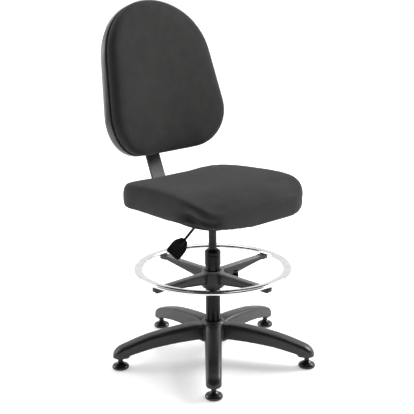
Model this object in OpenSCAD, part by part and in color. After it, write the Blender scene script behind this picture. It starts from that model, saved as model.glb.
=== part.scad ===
// Drafting chair: gas-lift column on a five-arm base with glides, clamped foot ring,
// padded seat and an egg-shaped back on one flat steel upright.
// The origin is on the floor, under the middle of the chair's outline. The sitter faces -Y.

/* [Base] */
// Distance from the column to each glide
glide_pitch_r = 330; // [320:1:340]
// Width of a base arm at its tip
arm_w = 50; // [46:1:54]
// Turn of the first base arm from the -Y direction
arm_turn = -44; // [-50:1:-38]
// Diameter of a glide foot
glide_d = 54; // [48:1:58]

/* [Column] */
// Outer diameter of the outer tube
tube_d = 50.8; // [50:0.2:51.2]
// Outer diameter of the gas cylinder
cyl_d = 28; // [27.6:0.2:28.2]

/* [Foot ring] */
// Radius of the ring's centre line
ring_r = 253; // [250:1:258]
// Width of the ring tube, measured outwards
ring_tube_w = 30; // [28:1:31]
// Height of the ring tube
ring_tube_h = 15; // [14:0.5:15]
// Height of the ring's centre above the floor
ring_z = 321; // [321:1:322]

/* [Seat] */
// Width of the seat at its front
seat_w = 512; // [490:1:520]
// Width lost from front to rear
seat_taper = 40; // [20:1:50]
// Front edge of the seat, measured from the column
seat_front = 228; // [220:1:235]
// Rear edge of the seat, measured from the column
seat_rear = 234; // [228:1:236]
// Height of the seat's top above the floor
seat_top = 622; // [616:1:630]

/* [Back] */
// Height of the back panel
back_h = 516; // [500:1:530]
// Radius of the back's rounded top
back_top_r = 215; // [210:1:218]
// Radius of the back's lower corners
back_corner_r = 131; // [129:1:133]
// Distance from the middle to a lower corner's centre
back_corner_x = 110; // [106:1:112]
// Radius to which the back wraps around the sitter
back_wrap_r = 700; // [650:10:900]
// Lean of the back from upright
back_lean = 11.8; // [11.4:0.2:12]

/* [Hidden] */

$fn = 96;

axis_x = -14;          // the column stands here
axis_y = -25;
tube_r = tube_d / 2;
cyl_r = cyl_d / 2;
tube_wall = 1.5;
seat_under = 545;      // underside of the seat
back_y = 182;          // foot of the back's front face, from the column
back_z = 700;
bar_t = 8;             // steel upright
bar_w = 60;
bar_d = 125;           // middle of the upright behind the back's front face
pin_d = 97;            // tilt pivot, in the back's own frame
pin_v = 100;
lever_y = -20;
lever_z = 520;
lever_slope = 36.1;
knob_turn = 46;        // direction of the foot ring's clamp knob from -Y
eps = 0.05;            // fit clearance

module at_axis() translate([axis_x, axis_y, 0]) children();
// turns a radial shape (along +X) to a direction measured from -Y towards +X
module toward(a) rotate([0, 0, a - 90]) children();
// the back's frame: x across, y rearwards through the pad, z up along the pad
module on_back() translate([axis_x, axis_y + back_y, back_z]) rotate([-back_lean, 0, 0]) children();

// ---------- helpers
// point where two circles share an outer tangent; side 1 or 2
function tan_n(c1, r1, c2, r2) =
  let (d = c2 - c1, L = norm(d), a = atan2(d[1], d[0]) + acos((r1 - r2) / L)) [cos(a), sin(a)];
// a polyline with rounded corners, as centre line points; pts = [[y, z, bend radius], ...]
function bend_pts(p) = concat(
  [[p[0][0], p[0][1]]],
  [for (i = [1 : len(p) - 2])
    let (a = [p[i-1][0], p[i-1][1]], b = [p[i][0], p[i][1]], c = [p[i+1][0], p[i+1][1]],
         u = (a - b) / norm(a - b), w = (c - b) / norm(c - b),
         half = acos(u * w) / 2, t = p[i][2] / tan(half),
         m = (u + w) / norm(u + w), o = b + m * (p[i][2] / sin(half)),
         s = b + u * t, e = b + w * t,
         a0 = atan2(s[1] - o[1], s[0] - o[0]), a1 = atan2(e[1] - o[1], e[0] - o[0]),
         da = a1 - a0 > 180 ? a1 - a0 - 360 : (a1 - a0 < -180 ? a1 - a0 + 360 : a1 - a0),
         n = max(3, ceil(abs(da) / 9)))
    for (k = [0 : n]) o + p[i][2] * [cos(a0 + da * k / n), sin(a0 + da * k / n)]],
  [[p[len(p)-1][0], p[len(p)-1][1]]]);
function dir_at(q, i) = let (a = q[max(0, i - 1)], b = q[min(len(q) - 1, i + 1)]) (b - a) / norm(b - a);
function strip(q, t) = concat(
  [for (i = [0 : len(q) - 1]) let (d = dir_at(q, i)) q[i] + [-d[1], d[0]] * t / 2],
  [for (i = [len(q) - 1 : -1 : 0]) let (d = dir_at(q, i)) q[i] - [-d[1], d[0]] * t / 2]);
module ring3(ro, ri, z0, z1) translate([0, 0, z0]) difference() {
  cylinder(r = ro, h = z1 - z0);
  translate([0, 0, -1]) cylinder(r = ri, h = z1 - z0 + 2);
}
// five-lobed hand knob, standing on z = 0, with a blind socket for its stud
module hand_knob(r, h, socket) difference() {
  union() {
    linear_extrude(h) union() {
      circle(r = r * 0.8);
      for (i = [0 : 4]) rotate(72 * i + 10) translate([r * 0.7, 0]) circle(r = r * 0.3);
    }
    translate([0, 0, -8]) cylinder(r1 = r * 0.36, r2 = r * 0.45, h = 9);
  }
  translate([0, 0, -9]) cylinder(r = 4 + eps, h = 9 + socket);
}

// ---------- base
function arm_top(r) = 133 - 59 * pow(max(0, r - 60) / 277, 1.8);
function arm_low(r) = 76 - 30 * pow(max(0, r - 60) / 277, 1.9);
function arm_outline() = concat(
  [for (r = [0 : 15 : 330]) [r, r < 60 ? 126 + 7 * r / 60 : arm_top(r)]],
  [for (a = [75 : -15 : 0]) [glide_pitch_r + 4 + 21 * cos(a), 54 + 21 * sin(a)]],
  [[glide_pitch_r + 25, 40], [glide_pitch_r - 25, 40]],
  [for (r = [300 : -20 : 60]) [r, arm_low(r)]],
  [[44, 66], [0, 66]]);
module base_arm() intersection() {
  rotate([90, 0, 0]) translate([0, 0, -60]) linear_extrude(120) polygon(arm_outline());
  linear_extrude(200) union() {
    polygon([[0, -31], [60, -30], [glide_pitch_r, -arm_w / 2], [glide_pitch_r, arm_w / 2], [60, 30], [0, 31]]);
    translate([glide_pitch_r, 0]) circle(r = arm_w / 2);
  }
}
// hollow underside of an arm, one lane each side of the middle rib
module arm_pocket() for (s = [0, 1]) mirror([0, s, 0])
  translate([0, 20, 0]) rotate([90, 0, 0]) linear_extrude(17.5)
    polygon(concat([for (r = [62 : 17 : 300]) [r, arm_top(r) - 7]], [[300, 20], [62, 20]]));
module base_star() color([0.11, 0.11, 0.11]) at_axis() difference() {
  union() {
    for (i = [0 : 4]) toward(arm_turn + 72 * i) difference() { base_arm(); arm_pocket(); }
    translate([0, 0, 62]) cylinder(r = 46, h = 56);
    translate([0, 0, 118]) cylinder(r1 = 46, r2 = 34, h = 14);
  }
  // tapered seat for the column
  translate([0, 0, 128]) cylinder(r = tube_r + eps, h = 20);
  translate([0, 0, 48]) cylinder(r1 = tube_r - 0.8 + eps, r2 = tube_r + eps, h = 80.01);
  // rebate for the steel ring
  ring3(60, 42, 50, 74);
  // glide sockets
  for (i = [0 : 4]) toward(arm_turn + 72 * i) translate([glide_pitch_r, 0, 30]) cylinder(r = 5.5 + eps, h = 36);
}
module base_hub_ring() color([0.3, 0.3, 0.31]) at_axis() ring3(46, 42 + eps, 62, 73.9);
module glide_stems() color([0.6, 0.6, 0.6]) at_axis()
  for (i = [0 : 4]) toward(arm_turn + 72 * i) translate([glide_pitch_r, 0, 12]) {
    cylinder(r = 5.5, h = 52);
    translate([0, 0, 52]) cylinder(r1 = 5.5, r2 = 4.5, h = 1.8);
  }
module glide_feet() color([0.08, 0.08, 0.08]) at_axis()
  for (i = [0 : 4]) toward(arm_turn + 72 * i) translate([glide_pitch_r, 0, 0]) rotate_extrude()
    polygon([[0, 0], [glide_d / 2 - 5, 0], [glide_d / 2 - 1.5, 1.5], [glide_d / 2, 5], [glide_d / 2 - 0.5, 9],
             [glide_d / 2 - 3, 12], [19, 14], [17, 17], [14.5, 21], [11.5, 25], [10.5, 29], [10.5, 39.9],
             [5.5 + eps, 39.9], [5.5 + eps, 11.9], [0, 11.9]]);

// ---------- column, fixed
module outer_tube() color([0.06, 0.06, 0.06]) at_axis() rotate_extrude()
  polygon([[5 + eps, 48], [tube_r - 0.8, 48], [tube_r, 128], [tube_r, 371.9], [tube_r - tube_wall, 371.9],
           [tube_r - tube_wall, 128], [tube_r - 0.8 - tube_wall, 52], [5 + eps, 52]]);
module top_collar() color([0.08, 0.08, 0.08]) at_axis() rotate_extrude()
  polygon([[tube_r + eps, 333.5], [tube_r + 0.9, 333.5], [tube_r + 0.9, 370], [tube_r + 1.6, 372], [tube_r + 1.6, 379],
           [tube_r - 1, 384], [tube_r - 5, 386], [cyl_r + eps, 386], [cyl_r + eps, 300],
           [tube_r - tube_wall - eps, 300], [tube_r - tube_wall - eps, 372], [tube_r + eps, 372]]);
module bearing_washer_lower() color([0.6, 0.6, 0.6]) at_axis() ring3(11, 5.3, 52 + eps, 53);
module bearing_balls() color([0.7, 0.7, 0.7]) at_axis()
  for (i = [0 : 11]) rotate([0, 0, 30 * i]) translate([8, 0, 54.55]) sphere(r = 1.5);
// ---------- column, turning with the seat but not rising
module bearing_washer_upper() color([0.6, 0.6, 0.6]) at_axis() ring3(11, 5 + eps, 56.1, 57.1);
module piston_rod() color([0.75, 0.75, 0.76]) at_axis() rotate_extrude()
  polygon([[0, 42], [4, 42], [5, 43], [5, 57.15], [8, 57.15], [8, 60], [5, 60], [5, 350], [cyl_r - 2 - 0.1, 350],
           [cyl_r - 2 - 0.1, 362], [0, 362]]);
module bump_stop() color([0.05, 0.05, 0.05]) at_axis() ring3(11, 5 + eps, 60 + eps, 78);
module rod_clip() color([0.6, 0.6, 0.6]) at_axis() difference() {
  ring3(9, 5 + eps, 45.9, 47.9);
  translate([0, -1.5, 45]) cube([12, 3, 4]);
}
// ---------- column, rising with the seat
module gas_cylinder() color([0.16, 0.16, 0.16]) at_axis() rotate_extrude()
  polygon([[cyl_r - 2, 130], [cyl_r, 130], [cyl_r, 456], [cyl_r - 0.8, 508], [4 + eps, 508], [4 + eps, 496], [cyl_r - 2, 496]]);
module rod_gland() color([0.1, 0.1, 0.1]) at_axis() ring3(cyl_r - 2 - eps, 5 + eps, 130, 146);
module release_button() color([0.7, 0.7, 0.7]) at_axis() translate([0, 0, 494]) {
  cylinder(r = 4, h = 21);
  translate([0, 0, 21]) cylinder(r1 = 4, r2 = 3, h = 2);
}

// ---------- foot ring
module hub_bush() color([0.3, 0.3, 0.3]) at_axis() difference() {
  union() {
    ring3(tube_r + 2, tube_r + eps, 250, 313);
    ring3(tube_r + 5, tube_r + eps, 311 + eps, 313);
  }
  rotate([0, 0, 200]) translate([0, -1.25, 245]) cube([60, 2.5, 80]);
}
function spoke_outline() = [[28, 264], [28, 311], [229, 312], [229, 321], [236.5, 322], [236.8, 313.4],
  [ring_r + 11, 313.4], [ring_r + 11, 297], [232, 297], [34, 266]];
module spoke() difference() {
  intersection() {
    rotate([90, 0, 0]) translate([0, 0, -15]) linear_extrude(30) polygon(spoke_outline());
    translate([0, 0, 240]) linear_extrude(100) polygon([[20, -13], [40, -11.5], [235, -11], [ring_r + 12, -13],
      [ring_r + 12, 13], [235, 11], [40, 11.5], [20, 13]]);
  }
  // hollow underside
  rotate([90, 0, 0]) translate([0, 0, -7]) linear_extrude(14)
    polygon([[42, 250], [42, 305], [222, 306], [222, 280]]);
  // screw hole
  translate([ring_r, 0, 290]) cylinder(r = 2.5 + eps, h = 40);
}
module ring_spider() color([0.13, 0.13, 0.13]) at_axis() difference() {
  union() {
    for (i = [0 : 3]) toward(90 * i) spoke();
    translate([0, 0, 260]) cylinder(r = 40, h = 51);
    translate([0, 0, 248]) cylinder(r1 = 34, r2 = 40, h = 12.01);
    toward(knob_turn) translate([30, 0, 286]) rotate([0, 90, 0]) cylinder(r = 11, h = 26);
  }
  translate([0, 0, 240]) cylinder(r = tube_r + 2 + eps, h = 90);
  toward(knob_turn) translate([20, 0, 286]) rotate([0, 90, 0]) cylinder(r = 4 + eps, h = 44);
}
module oval(w, h) union() {
  square([w - h, h], center = true);
  for (s = [-1, 1]) translate([s * (w - h) / 2, 0]) circle(d = h);
}
module foot_ring() color([0.85, 0.86, 0.87]) at_axis() difference() {
  rotate_extrude($fn = 180) translate([ring_r, ring_z]) difference() {
    oval(ring_tube_w, ring_tube_h);
    oval(ring_tube_w - 3, ring_tube_h - 3);
  }
  for (i = [0 : 3]) toward(90 * i) translate([ring_r, 0, 300]) cylinder(r = 2.5 + eps, h = 18);
}
module ring_screws() color([0.5, 0.5, 0.5]) at_axis()
  for (i = [0 : 3]) toward(90 * i) translate([ring_r, 0, 0]) {
    translate([0, 0, 293.5]) difference() { cylinder(r = 4.5, h = 3.4); translate([0, 0, -1]) cylinder(r = 2.2, h = 3, $fn = 6); }
    translate([0, 0, 296.8]) cylinder(r = 2.5, h = 20);
  }
module ring_knob_stud() color([0.6, 0.6, 0.6]) at_axis()
  toward(knob_turn) translate([tube_r + 2.2, 0, 286]) rotate([0, 90, 0]) cylinder(r = 4, h = 78.3 - tube_r);
module ring_knob() color([0.05, 0.05, 0.05]) at_axis()
  toward(knob_turn) translate([69, 0, 286]) rotate([0, 90, 0]) hand_knob(25, 18, 12);

// ---------- under the seat
module seat_bracket() color([0.1, 0.1, 0.1]) at_axis() difference() {
  union() {
    // top plate
    translate([-100, -95, 542]) cube([200, 200, 3]);
    // side walls
    for (s = [-1, 1]) translate([s * 46.5 - 1.5, -80, 503]) cube([3, 192, 39.5]);
    // front wall
    translate([-45.5, -80, 510]) cube([91, 3, 32.5]);
    // plate that carries the socket
    translate([-45.5, -34, 503]) cube([91, 3, 39.5]);
    translate([-45.5, -34, 503]) cube([91, 60, 3]);
    // ears for the lever's pin
    for (y = [lever_y - 14, lever_y + 11]) translate([-36, y, 514]) cube([16, 3, 28.5]);
  }
  // the folded front corners are cut back
  for (s = [-1, 1]) translate([s * 46.5 - 5, -81, 502]) cube([10, 12, 9]);
  // the socket's hole
  translate([0, 0, 500]) cylinder(r = 19 + eps, h = 8);
  // window for the lever
  translate([-50, lever_y - 10, 508]) cube([6, 20, 24]);
  // pin holes
  translate([-28, lever_y - 20, lever_z]) rotate([-90, 0, 0]) cylinder(r = 3 + eps, h = 40);
  // bolt holes
  for (x = [-85, 85], y = [-75, 85]) translate([x, y, 540]) cylinder(r = 3.1, h = 8);
}
module taper_socket() color([0.3, 0.3, 0.3]) at_axis() difference() {
  translate([0, 0, 460]) cylinder(r = 19, h = 50);
  translate([0, 0, 456]) cylinder(r1 = cyl_r + eps, r2 = cyl_r - 0.8 + eps, h = 52);
  translate([0, 0, 507.9]) cylinder(r = cyl_r - 0.8 + eps, h = 5);
}
module bar_housing() color([0.2, 0.2, 0.2]) at_axis() difference() {
  translate([-45, 60, 504]) cube([90, 51.5, 20]);
  translate([-bar_w / 2 - 0.1, 59, 511.9]) cube([bar_w + 0.2, 54, bar_t + 0.2]);
  translate([0, 86, 500]) cylinder(r = 4 + eps, h = 13);
}
module bracket_bolts() color([0.6, 0.6, 0.6]) at_axis() for (x = [-85, 85], y = [-75, 85]) translate([x, y, 0]) {
  translate([0, 0, 537.9]) cylinder(r = 5.8, h = 4, $fn = 6);
  translate([0, 0, 541.8]) cylinder(r = 3, h = 15);
}
module tee_nuts() color([0.65, 0.65, 0.6]) at_axis() for (x = [-85, 85], y = [-75, 85]) translate([x, y, 0]) {
  ring3(4, 3.05, 549, 558.2);
  ring3(9, 3.05, 557.3, 558.5);
}

// ---------- seat
function sq(t) = max(0, t) * max(0, t);
function seat_hi(y) = seat_top - 12 * sq((y - 84) / 150) - 42 * sq((-98 - y) / 130);
function seat_lo(y) = seat_under - 18 * sq((-98 - y) / 130);
module seat_plan(inset) {
  r = 99;
  cf = [seat_w / 2 - r, -seat_front + r];
  cr = [(seat_w - seat_taper) / 2 - r, seat_rear - r];
  q = r - inset;
  n = tan_n([cr[0], cr[1]], q, cf, q);
  union() {
    for (s = [-1, 1], c = [cf, cr]) translate([s * c[0], c[1]]) circle(r = q);
    polygon([[cf[0], cf[1] - q], cf + q * n, cr + q * n, [cr[0], cr[1] + q],
             [-cr[0], cr[1] + q], [-cr[0] - q * n[0], cr[1] + q * n[1]], [-cf[0] - q * n[0], cf[1] + q * n[1]], [-cf[0], cf[1] - q]]);
  }
}
module seat_slab(hi, lo) translate([-300, 0, 0]) rotate([90, 0, 90]) linear_extrude(600) polygon(concat(hi, lo));
module seat_cushion() color([0.19, 0.19, 0.19]) at_axis() difference() {
  intersection() {
    translate([0, 0, 400]) linear_extrude(300) seat_plan(0);
    seat_slab([for (y = [-seat_front : 16 : seat_rear - 12]) [y, seat_hi(y)]],
              concat([[seat_rear - 4, seat_hi(seat_rear) - 2], [seat_rear, seat_hi(seat_rear) - 14], [seat_rear + 1, seat_under]],
                     [for (y = [-98 : -16.25 : -seat_front]) [y, seat_lo(y)]]));
  }
  intersection() {
    translate([0, 0, 400]) linear_extrude(300) seat_plan(11.8);
    seat_slab([for (y = [-seat_front : 16.25 : -95]) [y, seat_lo(y) + 12.2]],
              concat([[seat_rear, seat_under + 12.2], [seat_rear, 500], [-seat_front, 500]]));
  }
  for (x = [-85, 85], y = [-75, 85]) translate([x, y, 550]) cylinder(r = 9.3, h = 9);
}
module seat_board() color([0.06, 0.055, 0.05]) at_axis() difference() {
  intersection() {
    translate([0, 0, 400]) linear_extrude(300) seat_plan(12);
    seat_slab([for (y = [-seat_front : 16.25 : -95]) [y, seat_lo(y) + 12]],
              concat([[seat_rear, seat_under + 12], [seat_rear, seat_under]],
                     [for (y = [-98 : -16.25 : -seat_front]) [y, seat_lo(y)]]));
  }
  for (x = [-85, 85], y = [-75, 85]) translate([x, y, 540]) {
    cylinder(r = 3.1, h = 30);
    translate([0, 0, 8.9]) cylinder(r = 4 + eps, h = 20);
  }
}

// ---------- lever
module lever_block() color([0.08, 0.08, 0.08]) at_axis() difference() {
  union() {
    translate([-44, lever_y - 8, lever_z - 7]) cube([24, 16, 14]);
    translate([0, 0, 519]) linear_extrude(4)
      polygon([[-21, lever_y - 8], [-21, lever_y + 8], [-6, 6], [6, 6], [6, -6], [0, -10]]);
    // rounded nose that presses the button
    translate([0, 5, 520.05]) rotate([90, 0, 0]) cylinder(r = 3, h = 10);
  }
  translate([-28, lever_y - 20, lever_z]) rotate([-90, 0, 0]) cylinder(r = 3 + eps, h = 40);
  translate([-33, lever_y, lever_z]) rotate([0, -90, 0]) cylinder(r = 4 + eps, h = 20);
}
module lever_pin() color([0.6, 0.6, 0.6]) at_axis()
  translate([-28, lever_y - 16, lever_z]) rotate([-90, 0, 0]) cylinder(r = 3, h = 32);
lever_bend_x = -55;
lever_reach = 118.8;   // from the bend to the start of the grip
module lever_rod() color([0.05, 0.05, 0.05]) at_axis() union() {
  translate([-33.2, lever_y, lever_z]) rotate([0, -90, 0]) cylinder(r = 4, h = -33.2 - lever_bend_x);
  translate([lever_bend_x, lever_y, lever_z]) sphere(r = 4);
  translate([lever_bend_x, lever_y, lever_z]) rotate([0, -90 - lever_slope, 0]) cylinder(r = 4, h = lever_reach + 28);
}
module lever_grip() color([0.04, 0.04, 0.04]) at_axis()
  translate([lever_bend_x, lever_y, lever_z]) rotate([0, 180 - lever_slope, 0]) translate([lever_reach, 0, 0]) rotate([-60, 0, 0])
  difference() {
    intersection() {
      translate([0, 0, -10]) linear_extrude(20)
        polygon([[-7, -7], [-4, -9], [2, -16], [10, -22], [18, -25], [30, -26], [44, -25.5], [56, -23.5], [61, -21], [63, -16],
                 [63, 16], [61, 21], [56, 23.5], [44, 25.5], [30, 26], [18, 25], [10, 22], [2, 16], [-4, 9], [-7, 7]]);
      rotate([90, 0, 0]) translate([0, 0, -30]) linear_extrude(60)
        polygon([[-8, -7], [34, -6.5], [63, -3.5], [64, 3.5], [34, 6.5], [-8, 7]]);
    }
    translate([-12, 0, 0]) rotate([0, 90, 0]) cylinder(r = 4 + eps, h = 40.3);
  }

// ---------- back support
module depth_knob_stud() color([0.6, 0.6, 0.6]) at_axis() translate([0, 86, 490]) cylinder(r = 4, h = 21.85);
module depth_knob() color([0.05, 0.05, 0.05]) at_axis() translate([0, 86, 494]) mirror([0, 0, 1]) hand_knob(21, 16, 5);
// bar path in (y, z): a flat run under the seat, up behind it, then in line with the back
back_up = [sin(back_lean), cos(back_lean)];
back_out = [cos(back_lean), -sin(back_lean)];
bar_knee = [back_y, back_z] + bar_d * back_out;
bar_path = [[30, 516, 0], [240, 516, 34], [bar_knee[0], bar_knee[1], 60],
            [bar_knee[0] + 190 * back_up[0], bar_knee[1] + 190 * back_up[1], 0]];
module back_bar() color([0.1, 0.1, 0.1]) at_axis()
  translate([-bar_w / 2, 0, 0]) rotate([90, 0, 90]) linear_extrude(bar_w) polygon(strip(bend_pts(bar_path), bar_t));
module bar_end_cap() color([0.05, 0.05, 0.05]) on_back() translate([0, bar_d, 190]) difference() {
  translate([-bar_w / 2 - 2, -bar_t / 2 - 2, -10]) cube([bar_w + 4, bar_t + 4, 13]);
  translate([-bar_w / 2 - 0.05, -bar_t / 2 - 0.05, -11]) cube([bar_w + 0.1, bar_t + 0.1, 11.05]);
}
module back_carriage() color([0.07, 0.07, 0.07]) on_back() difference() {
  union() {
    translate([-42, bar_d - 16, 62]) cube([84, 28, 76]);
    translate([0, bar_d + 11, pin_v]) rotate([-90, 0, 0]) cylinder(r = 13, h = 6);
    for (s = [-1, 1]) translate([s * 27 - 3, pin_d, pin_v]) {
      rotate([0, 90, 0]) cylinder(r = 9, h = 6);
      translate([0, 0, -9]) cube([6, 13, 18]);
    }
  }
  translate([-bar_w / 2 - 0.1, bar_d - bar_t / 2 - 0.1, 50]) cube([bar_w + 0.2, bar_t + 0.2, 100]);
  translate([-40, pin_d, pin_v]) rotate([0, 90, 0]) cylinder(r = 4 + eps, h = 80);
  translate([0, bar_d, pin_v]) rotate([-90, 0, 0]) cylinder(r = 4 + eps, h = 40);
}
module height_knob_stud() color([0.6, 0.6, 0.6]) on_back()
  translate([0, bar_d + bar_t / 2 + 0.15, pin_v]) rotate([-90, 0, 0]) cylinder(r = 4, h = 25);
module height_knob() color([0.05, 0.05, 0.05]) on_back()
  translate([0, bar_d + 26, pin_v]) rotate([-90, 0, 0]) hand_knob(21, 16, 5);
module pivot_pin() color([0.6, 0.6, 0.6]) on_back() translate([-33, pin_d, pin_v]) rotate([0, 90, 0]) cylinder(r = 4, h = 66);
module pivot_plate() color([0.1, 0.1, 0.1]) on_back() difference() {
  union() {
    translate([-55, 79, 52]) cube([110, 3, 96]);
    for (s = [-1, 1]) translate([s * 18 - 2.5, pin_d, pin_v]) {
      rotate([0, 90, 0]) cylinder(r = 9, h = 5);
      translate([0, -16, -12]) cube([5, 16, 24]);
    }
  }
  translate([-40, pin_d, pin_v]) rotate([0, 90, 0]) cylinder(r = 4 + eps, h = 80);
  for (x = [-42, 42], v = [64, 136]) translate([x, 70, v]) rotate([-90, 0, 0]) cylinder(r = 2.5 + eps, h = 20);
}
module back_screws() color([0.6, 0.6, 0.6]) on_back() for (x = [-42, 42], v = [64, 136]) translate([x, 0, v]) rotate([-90, 0, 0]) {
  translate([0, 0, 52]) cylinder(r = 2.5, h = 30.2);
  translate([0, 0, 82.1]) cylinder(r1 = 4.5, r2 = 3.5, h = 2.6);
}

// ---------- back panel
function arc_pts(c, r, a0, a1, n) = [for (k = [0 : n]) c + r * [cos(a0 + (a1 - a0) * k / n), sin(a0 + (a1 - a0) * k / n)]];
// the outline is bent round the sitter, so it grows with its depth behind the front face
function bent(p, d) = [for (q = p) [(back_wrap_r + d) * sin(q[0] / back_wrap_r * 180 / PI), q[1]]];
module egg(inset, d) {
  c1 = [0, back_h - back_top_r];
  c2 = [back_corner_x, back_corner_r];
  r1 = back_top_r - inset;
  r2 = back_corner_r - inset;
  m = tan_n(c1, r1, c2, r2);
  a = atan2(m[1], m[0]);
  polygon(bent(concat(arc_pts(c1, r1, a, 180 - a, 40), arc_pts([-c2[0], c2[1]], r2, 180 - a, 270, 20), arc_pts(c2, r2, -90, a, 20)), d));
}
// a layer of the pad between two depths, wrapped around the sitter
module wrap(d0, d1) translate([0, -back_wrap_r, -20]) difference() {
  cylinder(r = back_wrap_r + d1, h = back_h + 40, $fn = 240);
  translate([0, 0, -1]) cylinder(r = back_wrap_r + d0, h = back_h + 42, $fn = 240);
}
module layer(inset, d0, d1, d) intersection() {
  translate([0, 120, 0]) rotate([90, 0, 0]) linear_extrude(240) egg(inset, d);
  wrap(d0, d1);
}
module back_cushion() color([0.17, 0.17, 0.17]) on_back() union() {
  layer(0, 28, 45.7, 38);
  layer(1, 13, 28.1, 21);
  layer(13, 2, 13.1, 8);
}
module back_board() color([0.5, 0.4, 0.28]) on_back() difference() {
  layer(14, 46, 56, 51);
  for (x = [-42, 42], v = [64, 136]) translate([x, 0, v]) rotate([-90, 0, 0]) cylinder(r = 2.5 + eps, h = 90);
}
module back_shell() color([0.3, 0.3, 0.3]) on_back() difference() {
  union() {
    difference() {
      union() { layer(3, 46, 62, 55); layer(5, 61.9, 73, 68); layer(11, 72.9, 78.4, 75); }
      layer(13.8, 40, 75.4, 51);
    }
    intersection() {
      for (x = [-42, 42], v = [64, 136]) translate([x, 40, v]) rotate([-90, 0, 0]) cylinder(r = 7, h = 37);
      wrap(56.2, 77);
    }
  }
  for (x = [-42, 42], v = [64, 136]) translate([x, 0, v]) rotate([-90, 0, 0]) cylinder(r = 2.5 + eps, h = 90);
}

base_star();
base_hub_ring();
glide_stems();
glide_feet();
outer_tube();
top_collar();
bearing_washer_lower();
bearing_balls();
bearing_washer_upper();
piston_rod();
bump_stop();
rod_clip();
gas_cylinder();
rod_gland();
release_button();
hub_bush();
ring_spider();
foot_ring();
ring_screws();
ring_knob();
ring_knob_stud();
seat_bracket();
taper_socket();
bar_housing();
bracket_bolts();
tee_nuts();
seat_board();
seat_cushion();
lever_block();
lever_pin();
lever_rod();
lever_grip();
depth_knob();
depth_knob_stud();
back_bar();
bar_end_cap();
back_carriage();
height_knob();
height_knob_stud();
pivot_pin();
pivot_plate();
back_screws();
back_shell();
back_board();
back_cushion();
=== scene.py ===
import bpy, bmesh, math
import numpy as np
from mathutils import Vector, Matrix


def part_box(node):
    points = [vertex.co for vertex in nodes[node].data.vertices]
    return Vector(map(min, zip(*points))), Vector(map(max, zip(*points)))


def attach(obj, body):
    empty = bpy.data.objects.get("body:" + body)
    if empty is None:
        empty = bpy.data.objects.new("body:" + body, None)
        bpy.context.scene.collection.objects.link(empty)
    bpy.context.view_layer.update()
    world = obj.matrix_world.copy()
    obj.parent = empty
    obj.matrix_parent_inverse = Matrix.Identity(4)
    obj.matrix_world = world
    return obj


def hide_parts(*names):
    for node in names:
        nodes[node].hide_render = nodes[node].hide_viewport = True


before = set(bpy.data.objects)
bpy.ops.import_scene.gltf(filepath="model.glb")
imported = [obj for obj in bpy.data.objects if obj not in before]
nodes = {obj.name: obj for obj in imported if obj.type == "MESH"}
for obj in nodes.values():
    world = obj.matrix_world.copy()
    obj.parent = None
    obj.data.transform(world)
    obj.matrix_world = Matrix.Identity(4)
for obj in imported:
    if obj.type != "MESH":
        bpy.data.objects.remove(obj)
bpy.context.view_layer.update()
scene = bpy.context.scene

# ------------------------------------------------------------------ places: the column's axis is taken from the outer tube
_lo, _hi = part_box("outer_tube")
AX, AY = (_lo.x + _hi.x) / 2, (_lo.y + _hi.y) / 2
LEAN = math.radians(11.8)


def A(p):
    """Points in mm from the column's foot to metres in the row frame."""
    p = np.asarray(p, float) / 1000
    return p + np.array([AX, AY, 0.0])


def B(p):
    """Points in mm in the back's own frame (across, rearwards, up) to metres in the row frame."""
    p = np.asarray(p, float)
    x, d, v = p[..., 0], p[..., 1], p[..., 2]
    y = 182 + d * math.cos(LEAN) + v * math.sin(LEAN)
    z = 700 - d * math.sin(LEAN) + v * math.cos(LEAN)
    return A(np.stack([x, y, z], -1))


def az(a):
    """Unit vector of a direction measured from -Y towards +X."""
    return np.array([math.sin(math.radians(a)), -math.cos(math.radians(a)), 0.0])


# ------------------------------------------------------------------ mesh helpers
def make(name, verts, faces, smooth=True):
    me = bpy.data.meshes.new(name)
    me.from_pydata([tuple(map(float, v)) for v in verts], [], [tuple(map(int, f)) for f in faces])
    me.update()
    bm = bmesh.new()
    bm.from_mesh(me)
    bmesh.ops.recalc_face_normals(bm, faces=bm.faces)
    bm.to_mesh(me)
    bm.free()
    for p in me.polygons:
        p.use_smooth = smooth
    o = bpy.data.objects.new(name, me)
    scene.collection.objects.link(o)
    return o


def grid_faces(n_rows, n_cols, close_cols=True, offset=0):
    f = []
    for i in range(n_rows - 1):
        for j in range(n_cols if close_cols else n_cols - 1):
            k = (j + 1) % n_cols
            f.append((offset + i * n_cols + j, offset + i * n_cols + k, offset + (i + 1) * n_cols + k, offset + (i + 1) * n_cols + j))
    return f


def rings_mesh(name, rings, cap_start=True, cap_end=True, smooth=True):
    """Closed skin through rings of equal point count; a ring may be capped with a fan to its middle."""
    rings = [np.asarray(r, float) for r in rings]
    n = len(rings[0])
    verts = [p for r in rings for p in r]
    faces = grid_faces(len(rings), n)
    if cap_start:
        verts.append(rings[0].mean(0))
        c = len(verts) - 1
        faces += [((j + 1) % n, j, c) for j in range(n)]
    if cap_end:
        verts.append(rings[-1].mean(0))
        c = len(verts) - 1
        b = (len(rings) - 1) * n
        faces += [(b + j, b + (j + 1) % n, c) for j in range(n)]
    return make(name, verts, faces, smooth)


def lathe_rings(profile, seg=64):
    a = np.linspace(0, 2 * math.pi, seg, endpoint=False)
    return [np.stack([r * np.cos(a), r * np.sin(a), np.full(seg, z)], -1) for r, z in profile]


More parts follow.
